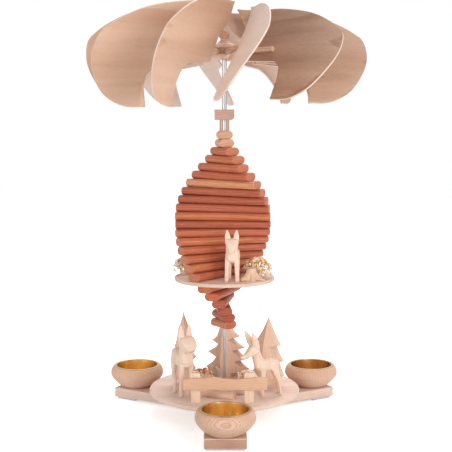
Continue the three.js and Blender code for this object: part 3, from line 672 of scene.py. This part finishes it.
def fused(name, parts, material, body, place, voxel=0.45, smooth=1, replaces=(), seed=0, ratio=0.2, angle=40):
    """Joins rough shapes into one carved solid with soft edges, whose fibres stand upright."""
    obj = placed(name, outward(raw_mesh(name, *joined(parts))))
    rough = obj.data
    remesh = obj.modifiers.new("voxels", "REMESH")
    remesh.mode, remesh.voxel_size = "VOXEL", voxel * MM
    relax = obj.modifiers.new("soften", "SMOOTH")
    relax.factor, relax.iterations = 0.5, smooth
    obj.modifiers.new("thin", "DECIMATE").ratio = ratio
    made = applied(obj)
    obj.modifiers.clear()
    obj.data = made
    bpy.data.meshes.remove(rough)
    made.name = name
    made.materials.clear()
    made.materials.append(material)
    for v in made.vertices:
        v.co.z = max(v.co.z, 0)
    obj.matrix_world = place
    return dress(obj, body, replaces, "z", seed, angle)


def deer(name, at, heading, height, width, body, replaces, seed, trunk, neck, head, ear, front, hind, yaw, leg=1,
         box=0.55):
    """A standing deer. Sizes are for one 67 mm tall and 13.2 mm wide, with its head to +X and turned by yaw.
    front and hind are where the hooves stand, leg is the legs' thickness, and a small box squares the head."""
    s, w = height / 67, width / 13.2
    c, t = math.cos(math.radians(yaw)), math.sin(math.radians(yaw))
    pivot = neck[1][0]

    def st(x, y, z, across, deep, turned=False):
        if turned:
            x, y = pivot + (x - pivot) * c - y * t, (x - pivot) * t + y * c
        return ((x * s, y * w, z * s), across * w, deep * s)

    belly = trunk[1][1] - trunk[1][3]
    tail, rump = trunk[0][:2]
    parts = [limb(*[st(x, 0, z, across, deep) for x, z, across, deep in trunk], square=0.6),
             limb(*[st(x, 0, z, across, deep) for x, z, across, deep in neck], square=0.62),
             limb(*[st(x, 0, z, across, deep, True) for x, z, across, deep in head], square=box),
             limb(st(tail - 2.2, 0, rump + 4.2, 2, 1.6), st(tail - 4.4, 0, rump + 0.5, 1.7, 1.3))]
    for side in (1, -1):
        parts.append(limb(*[st(x, y * side, z, across, deep, True) for x, y, z, across, deep in ear], square=0.9))
        for stations in (
                ((front - 1.2, 4.2, belly + 4, 2.3, 3.4), (front - 0.3, 4.6, belly * 0.5, 2 * leg, 2.2 * leg),
                 (front, 5, 1, 1.9 * leg, 2 * leg)),
                ((tail + 1.8, 3.8, belly + 6, 2.4, 5),
                 ((tail + hind) / 2 - 0.6, 3.9, belly * 0.62, 1.9 * leg, 2.7 * leg),
                 (hind + 0.9, 3.9, belly * 0.32, 1.6 * leg, 1.8 * leg), (hind, 4, 1, 1.7 * leg, 1.9 * leg))):
            parts.append(limb(*[st(x, y * side, z, across, deep) for x, y, z, across, deep in stations],
                              square=0.65))
    return fused(name, parts, CARVED, body, turn(heading, at), voxel=0.36 * s, replaces=replaces, seed=seed, angle=38)


deer("deer_left_carved", (-40.5, -23, PLATE_TOP), -65, 67, 14, "base", ["deer_left"], 401,
     trunk=[(-10.6, 36.2, 5.8, 6.4), (-5.5, 36, 7, 8.4), (3, 33.8, 6.5, 7.2), (10.2, 33.6, 6.5, 8.2)],
     neck=[(10, 33, 6, 6), (10.8, 43, 5.9, 5.4), (11.6, 50.5, 5.6, 4.8)],
     head=[(8.6, 53.4, 6.4, 4), (12, 52, 7, 5.2), (15.8, 49, 6.7, 5), (18.6, 46.4, 5.6, 4)],
     ear=[(9, 3.6, 53.5, 3.3, 2.3), (9.2, 3.9, 58.5, 3.1, 1.8), (9.3, 4.1, 63.4, 2.1, 1.2),
          (9.4, 4.2, 67.4, 0.7, 0.6)], front=11.6, hind=-6.4, yaw=10, box=0.32)
deer("deer_right_carved", (42.2, -26.9, PLATE_TOP), -168, 59, 12.6, "base", ["deer_right"], 402,
     trunk=[(-5.2, 32.4, 5.2, 5.4), (-1, 33.2, 6.1, 6.4), (5, 32.6, 5.9, 5.8), (10.8, 32.6, 6.1, 7.2)],
     neck=[(10.8, 32, 5.6, 6.2), (13.8, 41, 4.9, 5.2), (16, 48, 4.8, 5)],
     head=[(15.6, 52, 4.8, 4.4), (19.6, 50.2, 5.4, 5.2), (24.6, 46.4, 4.2, 3.9), (30, 44.6, 2.8, 2.5),
           (34.6, 44.2, 2, 1.8)],
     ear=[(17.4, 3.2, 53.6, 2.6, 3.6), (20.2, 4.6, 59.4, 2.7, 3.8), (22.8, 5.6, 65, 2, 2.8),
          (25.4, 6.4, 70, 0.8, 0.9)], front=9.4, hind=-11.2, yaw=24, leg=0.85)
deer("deer_stage_carved", (7.4, -27, STAGE_TOP), -96, 48.2, 13.2, "rotor", ["deer_stage"], 403,
     trunk=[(-13.5, 33, 5, 5.8), (-8.5, 33.8, 6.2, 7.6), (0, 33, 5.8, 7), (9.5, 32.6, 6.2, 8.4)],
     neck=[(9.6, 32, 5.8, 5.6), (10.6, 42, 5.6, 5), (11.6, 49.5, 5.2, 4.8)],
     head=[(9.4, 53, 5.6, 3.6), (12.4, 51.2, 6.4, 5), (16.6, 46.6, 4.9, 4.2), (20.4, 42, 3, 2.9),
           (22.6, 39.8, 2, 2)],
     ear=[(10.2, 3.6, 54, 2.7, 2.2), (10.6, 4.1, 59, 2.5, 1.7), (10.9, 4.3, 63.4, 1.7, 1.2),
          (11.1, 4.4, 66.6, 0.7, 0.6)], front=10.6, hind=-16.5, yaw=0)


def tiers(points):
    """Bends the upper side of each bough: the points come as notch, tip pairs from the ground up."""
    out = []
    for a, b in zip(points, points[1:]):
        out.append(a)
        if b[1] > a[1] and b[0] < a[0]:
            for k in (0.25, 0.5, 0.75):
                sag = 0.14 * (a[0] - b[0]) * math.sin(math.pi * k)
                out.append((a[0] + (b[0] - a[0]) * k - sag, a[1] + (b[1] - a[1]) * k))
    out.append(points[-1])
    return out


def sawn_tree(name, at, heading, right, left, spike, flat, replaces, seed):
    """A four sided spike with a corner to the front, sawn through from the front by an outline."""
    front = tiers(right) + [(-x, z) for x, z in reversed(tiers(left)[1:-1])]
    corners = []
    for e, z in spike:
        corners += [(e, 0, z), (0, e * flat, z), (-e, 0, z), (0, -e * flat, z)]
    sides = [(0, 3, 2, 1), tuple(range(len(corners) - 4, len(corners)))] + walls(len(spike), 4)
    saw, tree = (placed("saw", outward(raw_mesh("saw", *shape)))
                 for shape in (board(front, -60, 60), ([tuple(c * MM for c in p) for p in corners], sides)))
    cut = tree.modifiers.new("saw", "BOOLEAN")
    cut.operation, cut.solver, cut.object = "INTERSECT", "EXACT", saw
    mesh = applied(tree)
    shape = ([v.co.copy() for v in mesh.vertices], [tuple(p.vertices) for p in mesh.polygons])
    spare = [mesh, saw.data, tree.data]
    for thing in (saw, tree):
        bpy.data.objects.remove(thing)
    for mesh in spare:
        bpy.data.meshes.remove(mesh)
    return fused(name, [shape], TREE, "base", turn(heading, at), voxel=0.33, replaces=replaces, seed=seed)


def wide(points, factor=1.03):
    return [(x * factor, z) for x, z in points]


sawn_tree("tree_middle_sawn", (1.5, 46, PLATE_TOP), -20,
          wide([(0, 0), (9, 0), (9, 4.2), (25.4, 8), (11.4, 15.8), (23.8, 18), (9.2, 26.4), (20.4, 29.4),
                (4.8, 37.6), (15.6, 40.6), (6.6, 47), (0, 66.5)]),
          wide([(0, 0), (9, 0), (9, 5), (19.8, 7.8), (6, 20.6), (18, 23.2), (4.4, 33.4), (13.6, 35.6),
                (6.6, 41.4), (5.2, 48), (0, 66.5)]),
          [(26.2, 0), (26, 8.4), (24.6, 18.4), (21.2, 30), (16.4, 41), (10.6, 50), (0.3, 67)],
          0.68, ["tree_middle"], 411)
sawn_tree("tree_right_sawn", (43.2, 11, PLATE_TOP), -34,
          [(0, 0), (5.4, 0), (5.4, 6), (17.6, 10.6), (8.4, 22.6), (17.4, 24.6), (4.4, 38.4), (13.4, 39.6),
           (8.4, 46.4), (3.8, 55.5), (0, 67)],
          [(0, 0), (5.4, 0), (5.4, 7), (16.8, 12), (9.7, 24), (16, 25.6), (8.2, 39.6), (14.2, 41.4), (0, 67)],
          [(20.4, 0), (20, 12), (18.6, 26), (16, 41), (0.3, 67.4)], 0.66, ["tree_right"], 412)
sawn_tree("tree_left_sawn", (-39.7, 10, PLATE_TOP), 8,
          [(0, 0), (4.6, 0), (4.6, 5), (12.8, 7.6), (8, 14), (12.3, 15.6), (8.3, 24.4), (12.8, 27), (6.8, 36.4),
           (9.6, 38.2), (5.4, 58.6), (0, 73)],
          [(0, 0), (4.6, 0), (4.6, 5), (12, 7.8), (7.4, 14), (11.6, 15.8), (7.2, 24.5), (11.2, 26.8), (7.2, 35.6),
           (9, 37.2), (6.6, 45.7), (5.3, 55.5), (0, 73)],
          [(13.4, 0), (13.3, 17), (13, 28), (10.6, 39), (0.3, 73.4)], 0.85, ["tree_left"], 413)

# fence: two posts and the wavy rail in front of them
FENCE_X, FENCE_Y, POST_HALF, POST_HEIGHT = -2.2, -54, 4.2, 27.6
for side, name in ((-1, "left"), (1, "right")):
    x = FENCE_X + side * 24.4
    post = prism([(x - POST_HALF, FENCE_Y), (x + POST_HALF, FENCE_Y), (x + POST_HALF, FENCE_Y + 4.6),
                  (x - POST_HALF, FENCE_Y + 4.6)], PLATE_TOP, PLATE_TOP + POST_HEIGHT)
    finish_mesh(f"fence_post_{name}", *post, POST, "base", "carved_wood", replaces=["fence"] if side < 0 else (),
                bevel=0.35, seed=421 + side, grain="z")
RAIL_X, RAIL_HALF, RAIL_LOW, RAIL_HIGH = 0.1, 38.2, 12.6, 23.2
outline = [(RAIL_X + RAIL_HALF * (k / 12 - 1), PLATE_TOP + RAIL_LOW + 0.45 * math.sin(k * 0.9)) for k in range(25)]
for k in range(49):
    share = k / 48  # from the right end, with two bumps and small waves
    lift = (1.5 * math.exp(-((share - 0.6) / 0.1) ** 2) + 0.9 * math.exp(-((share - 0.13) / 0.06) ** 2)
            + 0.5 * math.sin(share * 9 + 1) + 0.25 * math.sin(share * 31))
    outline.append((RAIL_X + RAIL_HALF * (1 - 2 * share), PLATE_TOP + RAIL_HIGH + lift))
finish_mesh("fence_rail", *board(outline, FENCE_Y, FENCE_Y - 3), PLANK, "base", "carved_wood", bevel=0.4, seed=425,
            angle=50)


def half_log(length, radius, low, sides=26):
    """A short log that lies on its split side."""
    verts = []
    stations = [-0.5, -0.49, -0.4, -0.2, 0, 0.2, 0.4, 0.49, 0.5]
    rng = random.Random(5)
    for s in stations:
        shrink = 0.9 if abs(s) == 0.5 else 1
        for k in range(sides):
            a = math.radians(-58 + 296 * k / (sides - 1))
            r = radius * shrink * (1 + 0.03 * math.sin(5 * a + 9 * s) + 0.02 * rng.uniform(-1, 1))
            verts.append((s * length * MM, r * math.cos(a) * MM, max(0, (low + r * math.sin(a))) * MM))
    return verts, walls(len(stations), sides) + ends(len(stations), sides)


finish_mesh("log_split", *half_log(33, 4.4, 3.2), LOG, "base", "carved_wood",
            place=turn(-26, (-6, -35, PLATE_TOP)), replaces=["log"], seed=431, angle=45)
finish_mesh("log_short", *half_log(24, 3.6, 2.4), LOG, "base", "carved_wood",
            place=turn(10, (6.5, -26.5, PLATE_TOP)), seed=432, angle=45)


def flared(height, top, reach, lobes, phase, skew=0, sides=60):
    """A stump whose foot runs out into roots."""
    verts = []
    levels = [(0, 1), (0.03, 0.985), (0.1, 0.9), (0.2, 0.72), (0.32, 0.5), (0.46, 0.28), (0.62, 0.12), (0.8, 0.03),
              (0.95, 0), (1, -0.06)]  # share of the height, and of the roots' reach there
    for share, flare in levels:
        for a in circle(sides):
            lobe = max(0, math.cos(a * lobes + phase)) ** 1.2 * 0.75 + 0.25 + 0.12 * math.sin(a * 2 + 1)
            broad = 1.25 if abs(math.cos(a)) > 0.3 else 0.8
            r = top * (1.1 - 0.12 * share) + reach * flare * lobe * broad + 0.03 * top * math.sin(11 * a)
            verts.append(((r * math.cos(a) + skew * share) * MM, r * math.sin(a) * MM, height * share * MM))
    return verts, walls(len(levels), sides) + ends(len(levels), sides)


roots = [flared(11.6, 4.4, 6.6, 5, 0.7, skew=0.8), limb(((-3, -3, 2.4), 2.6, 2.4), ((-8.6, -6.2, 1.7), 2.9, 2.1)),
         limb(((3, -2, 2), 2.4, 2), ((12.4, -3.2, 0.9), 2, 1.1))]
fused("stump_carved", roots, STUMP, "rotor", turn(0, (24.2, -25.5, STAGE_TOP)), voxel=0.4, smooth=2,
      replaces=["stump"], seed=441, ratio=0.3, angle=50)
finish_mesh("stump_small", *flared(4.2, 2.4, 1.5, 4, 0.2), STUMP, "rotor", "carved_wood",
            place=turn(30, (-36.5, 9, STAGE_TOP)), seed=442, grain="z", angle=55)


# -------- loose shavings and bark
def ribbon(path, axis, width, thick, verts, faces, marks, mark):
    """Adds a thin strip along a path to the lists of one mesh."""
    start, steps = len(verts), len(path)
    for k, q in enumerate(path):
        along = (path[min(k + 1, steps - 1)] - path[max(k - 1, 0)]).normalized()
        flat = along.cross(axis)
        flat = flat.normalized() if flat.length > 1e-6 else along.orthogonal().normalized()
        across = flat.cross(along).normalized()
        for cx, cy in ((1, 0), (0, 1), (-1, 0), (0, -1)):
            verts.append(tuple((q + flat * (cx * thick / 2) + across * (cy * width / 2)) * MM))
    strip = walls(steps, 4) + ends(steps, 4)
    faces += [tuple(start + i for i in face) for face in strip]
    marks += [mark] * len(strip)


def scatter(rng, spread):
    return Vector([rng.gauss(0, spread) for _ in range(3)])


def moss(name, centre, size, count, seed, tones, twig=None):
    """A tuft of small curled shavings over a lumpy core, seated on the scene plate."""
    rng = random.Random(seed)
    verts = []
    sides, levels = 20, 8
    for level in range(levels):
        rise = math.pi / 2 * level / (levels - 1)
        for a in circle(sides):
            lump = 0.72 + 0.1 * math.sin(5 * a + 3 * rise + seed) + 0.05 * rng.uniform(-1, 1)
            x = centre[0] + size[0] * lump * math.cos(a) * math.cos(rise)
            y = centre[1] + size[1] * lump * math.sin(a) * math.cos(rise)
            z = PLATE_TOP + 0.05 + (size[2] - 1.5) * lump * math.sin(rise)
            verts.append((x * MM, y * MM, z * MM))
    faces = walls(levels, sides) + ends(levels, sides)
    marks = [PALE] * len(faces)
    for _ in range(count):
        p = Vector((rng.uniform(-1, 1), rng.uniform(-1, 1), rng.uniform(0, 1)))
        p = p.normalized() * rng.uniform(0.75, 1)
        base = Vector((centre[0] + p.x * size[0], centre[1] + p.y * size[1],
                       PLATE_TOP + 0.6 + abs(p.z) * (size[2] - 1.8)))
        axis = scatter(rng, 1).normalized()
        u = axis.orthogonal().normalized()
        v = axis.cross(u)
        radius, rise, sweep, phase = (rng.uniform(*span) for span in ((0.8, 1.7), (-0.8, 0.8), (2.8, 6.6), (0, 6.28)))
        path = []
        for k in range(9):
            t = k / 8
            r = radius * (1 - 0.35 * t)
            q = (base + u * (r * math.cos(phase + sweep * t)) + v * (r * math.sin(phase + sweep * t))
                 + axis * (rise * t))
            q.z = max(q.z, PLATE_TOP + 0.3)
            path.append(q)
        ribbon(path, axis, rng.uniform(0.9, 1.4), 0.4, verts, faces, marks, rng.choice(tones))
    if twig:
        path = [Vector(twig[0]).lerp(Vector(twig[1]), k / 6) + Vector((0, 0, 0.5 * math.sin(k * 1.3)))
                for k in range(7)]
        ribbon(path, UP, 1.5, 1.3, verts, faces, marks, TWIG)
    finish_mesh(name, verts, faces, SHAVINGS, "base", "carved_wood", face_materials=marks, seed=seed, angle=60)


def bush(name, core, spread, height, count, seed, pale):
    """A bush of shavings: stalks rise from one foot, and short curls hang from them like an umbrella.
    pale is the share of pale curls, of which there are more towards the outside."""
    rng = random.Random(seed)
    verts, faces, marks = [], [], []
    foot = Vector((core[0], core[1], STAGE_TOP + 0.4))

    def crown(a, reach):
        rim = Vector((math.cos(a) * spread[0], math.sin(a) * spread[1], 0)) * reach
        return foot + rim + Vector((0, 0, height * (1 - 0.42 * reach ** 2)))

    for number in range(9):
        rise = crown(number * 2.4, rng.uniform(0.3, 0.75)) - foot
        top = foot + rise
        bend = foot + rise * 0.5 - Vector((rise.x, rise.y, 0)) * 0.3
        stalk = [foot * (1 - t) ** 2 + bend * (2 * t * (1 - t)) + top * t * t for t in (k / 8 for k in range(9))]
        ribbon(stalk, UP, 1.1, 0.9, verts, faces, marks, GOLD)
    for _ in range(count):
        a = rng.uniform(0, 2 * math.pi)
        reach = rng.uniform(0.05, 1) ** 0.55
        q = crown(a, reach) - Vector((0, 0, rng.uniform(0, 0.52) * height * (0.1 + 0.9 * reach ** 3)))
        outside = Vector((math.cos(a), math.sin(a), 0))
        axis = (outside.cross(UP) + scatter(rng, 0.5)).normalized()
        v = (outside - axis * outside.dot(axis)).normalized()
        u = v.cross(axis)
        radius, sweep, phase = rng.uniform(0.8, 1.6), rng.uniform(2.4, 5.2), rng.uniform(-0.6, 1.2)
        path = []
        for k in range(9):
            b = phase + sweep * k / 8
            p = q + u * (radius * math.cos(b)) + v * (radius * math.sin(b)) - Vector((0, 0, 0.16 * k))
            p.z = max(p.z, STAGE_TOP + 0.4)
            path.append(p)
        tone, widths = (PALE, (1.1, 1.8)) if rng.random() < pale * (0.35 + reach) else (GOLD, (0.7, 1.1))
        ribbon(path, axis, rng.uniform(*widths), 0.4, verts, faces, marks, tone)
    finish_mesh(name, verts, faces, SHAVINGS, "rotor", "carved_wood", face_materials=marks, seed=seed, angle=60)


bush("bush_right", (31, -14), (13.4, 8.5), 20.5, 400, 501, 0.55)
bush("bush_left", (-42, 13.5), (7.2, 5.5), 15.5, 150, 502, 0.75)
MOSS_TONES = (PALE, PALE, PALE, PALE, GOLD, RUST, RUST)
moss("moss_left", (-20, 19), (11, 5.5, 16.5), 170, 503, MOSS_TONES, twig=((-22, 20, 35.5), (-33.5, 19, 35.2)))
moss("moss_right", (19.5, 17), (8, 5, 13.5), 110, 504, MOSS_TONES)
slab = [(-7.6, 0), (7.2, 0), (6.4, 6.5), (5, 10), (2.2, 11.4), (0.4, 13.6), (-3, 12.4), (-5.4, 14.8),
        (-7.8, 12.6), (-6.9, 7)]
bark = [(x * MM, (y + 0.9 * math.sin(x + z)) * MM, z * MM) for y in (2.2, -2.2) for x, z in slab]
fused("bark_flat", [(bark, ends(2, len(slab)) + walls(2, len(slab)))], BARK, "base",
      turn(-24, (-8.5, 27.5, PLATE_TOP)), seed=451, ratio=0.4, angle=30)

# -------- world, lamps and floor
world = bpy.data.worlds.new("world")
scene.world = world
world.use_nodes = True
tree = world.node_tree
tree.nodes.clear()
out = tree.nodes.new("ShaderNodeOutputWorld")
fill = add(tree, "ShaderNodeBackground", {0: (1.0, 0.99, 0.98, 1), 1: 0.46})
white = add(tree, "ShaderNodeBackground", {0: WHITE, 1: 1.0})
blend = add(tree, "ShaderNodeMixShader", {0: seen_directly(tree), 1: fill.outputs[0], 2: white.outputs[0]})
tree.links.new(blend.outputs[0], out.inputs[0])

for name, at, target, size, power, colour in (
        ("key_light", (0.85, -1.1, 0.75), (0, 0, 0.2), 0.7, 9, (1, 0.99, 0.98)),
        ("fill_light", (-1.0, -1.0, 0.35), (0, 0, 0.15), 0.8, 5.6, (1, 1, 1)),
        ("low_light", (0.4, -0.9, 0.03), (0, 0, 0.36), 0.5, 2, (1, 1, 1)),
        ("top_light", (0.25, 0.75, 1.35), (0, 0, 0.1), 0.9, 14, (1, 1, 1))):
    lamp = placed(name, bpy.data.lights.new(name, "AREA"))
    lamp.data.shape, lamp.data.size, lamp.data.energy, lamp.data.color = "SQUARE", size, power, colour
    lamp.location = at
    lamp.rotation_euler = (Vector(target) - Vector(at)).to_track_quat("-Z", "Y").to_euler()

mat, tree, shader = nodes_of("floor_white")
shader.inputs["Base Color"].default_value = (0.9, 0.9, 0.9, 1)
shader.inputs["Roughness"].default_value = 0.9
shader.inputs["Emission Color"].default_value = WHITE
tree.links.new(calc(tree, "MULTIPLY", seen_directly(tree), 0.55), shader.inputs["Emission Strength"])
floor = placed("floor", raw_mesh("floor", [(-3, -3, 0), (3, -3, 0), (3, 3, 0), (-3, 3, 0)], [(0, 1, 2, 3)]))
floor.data.materials.append(mat)
floor.location.z = -0.0002
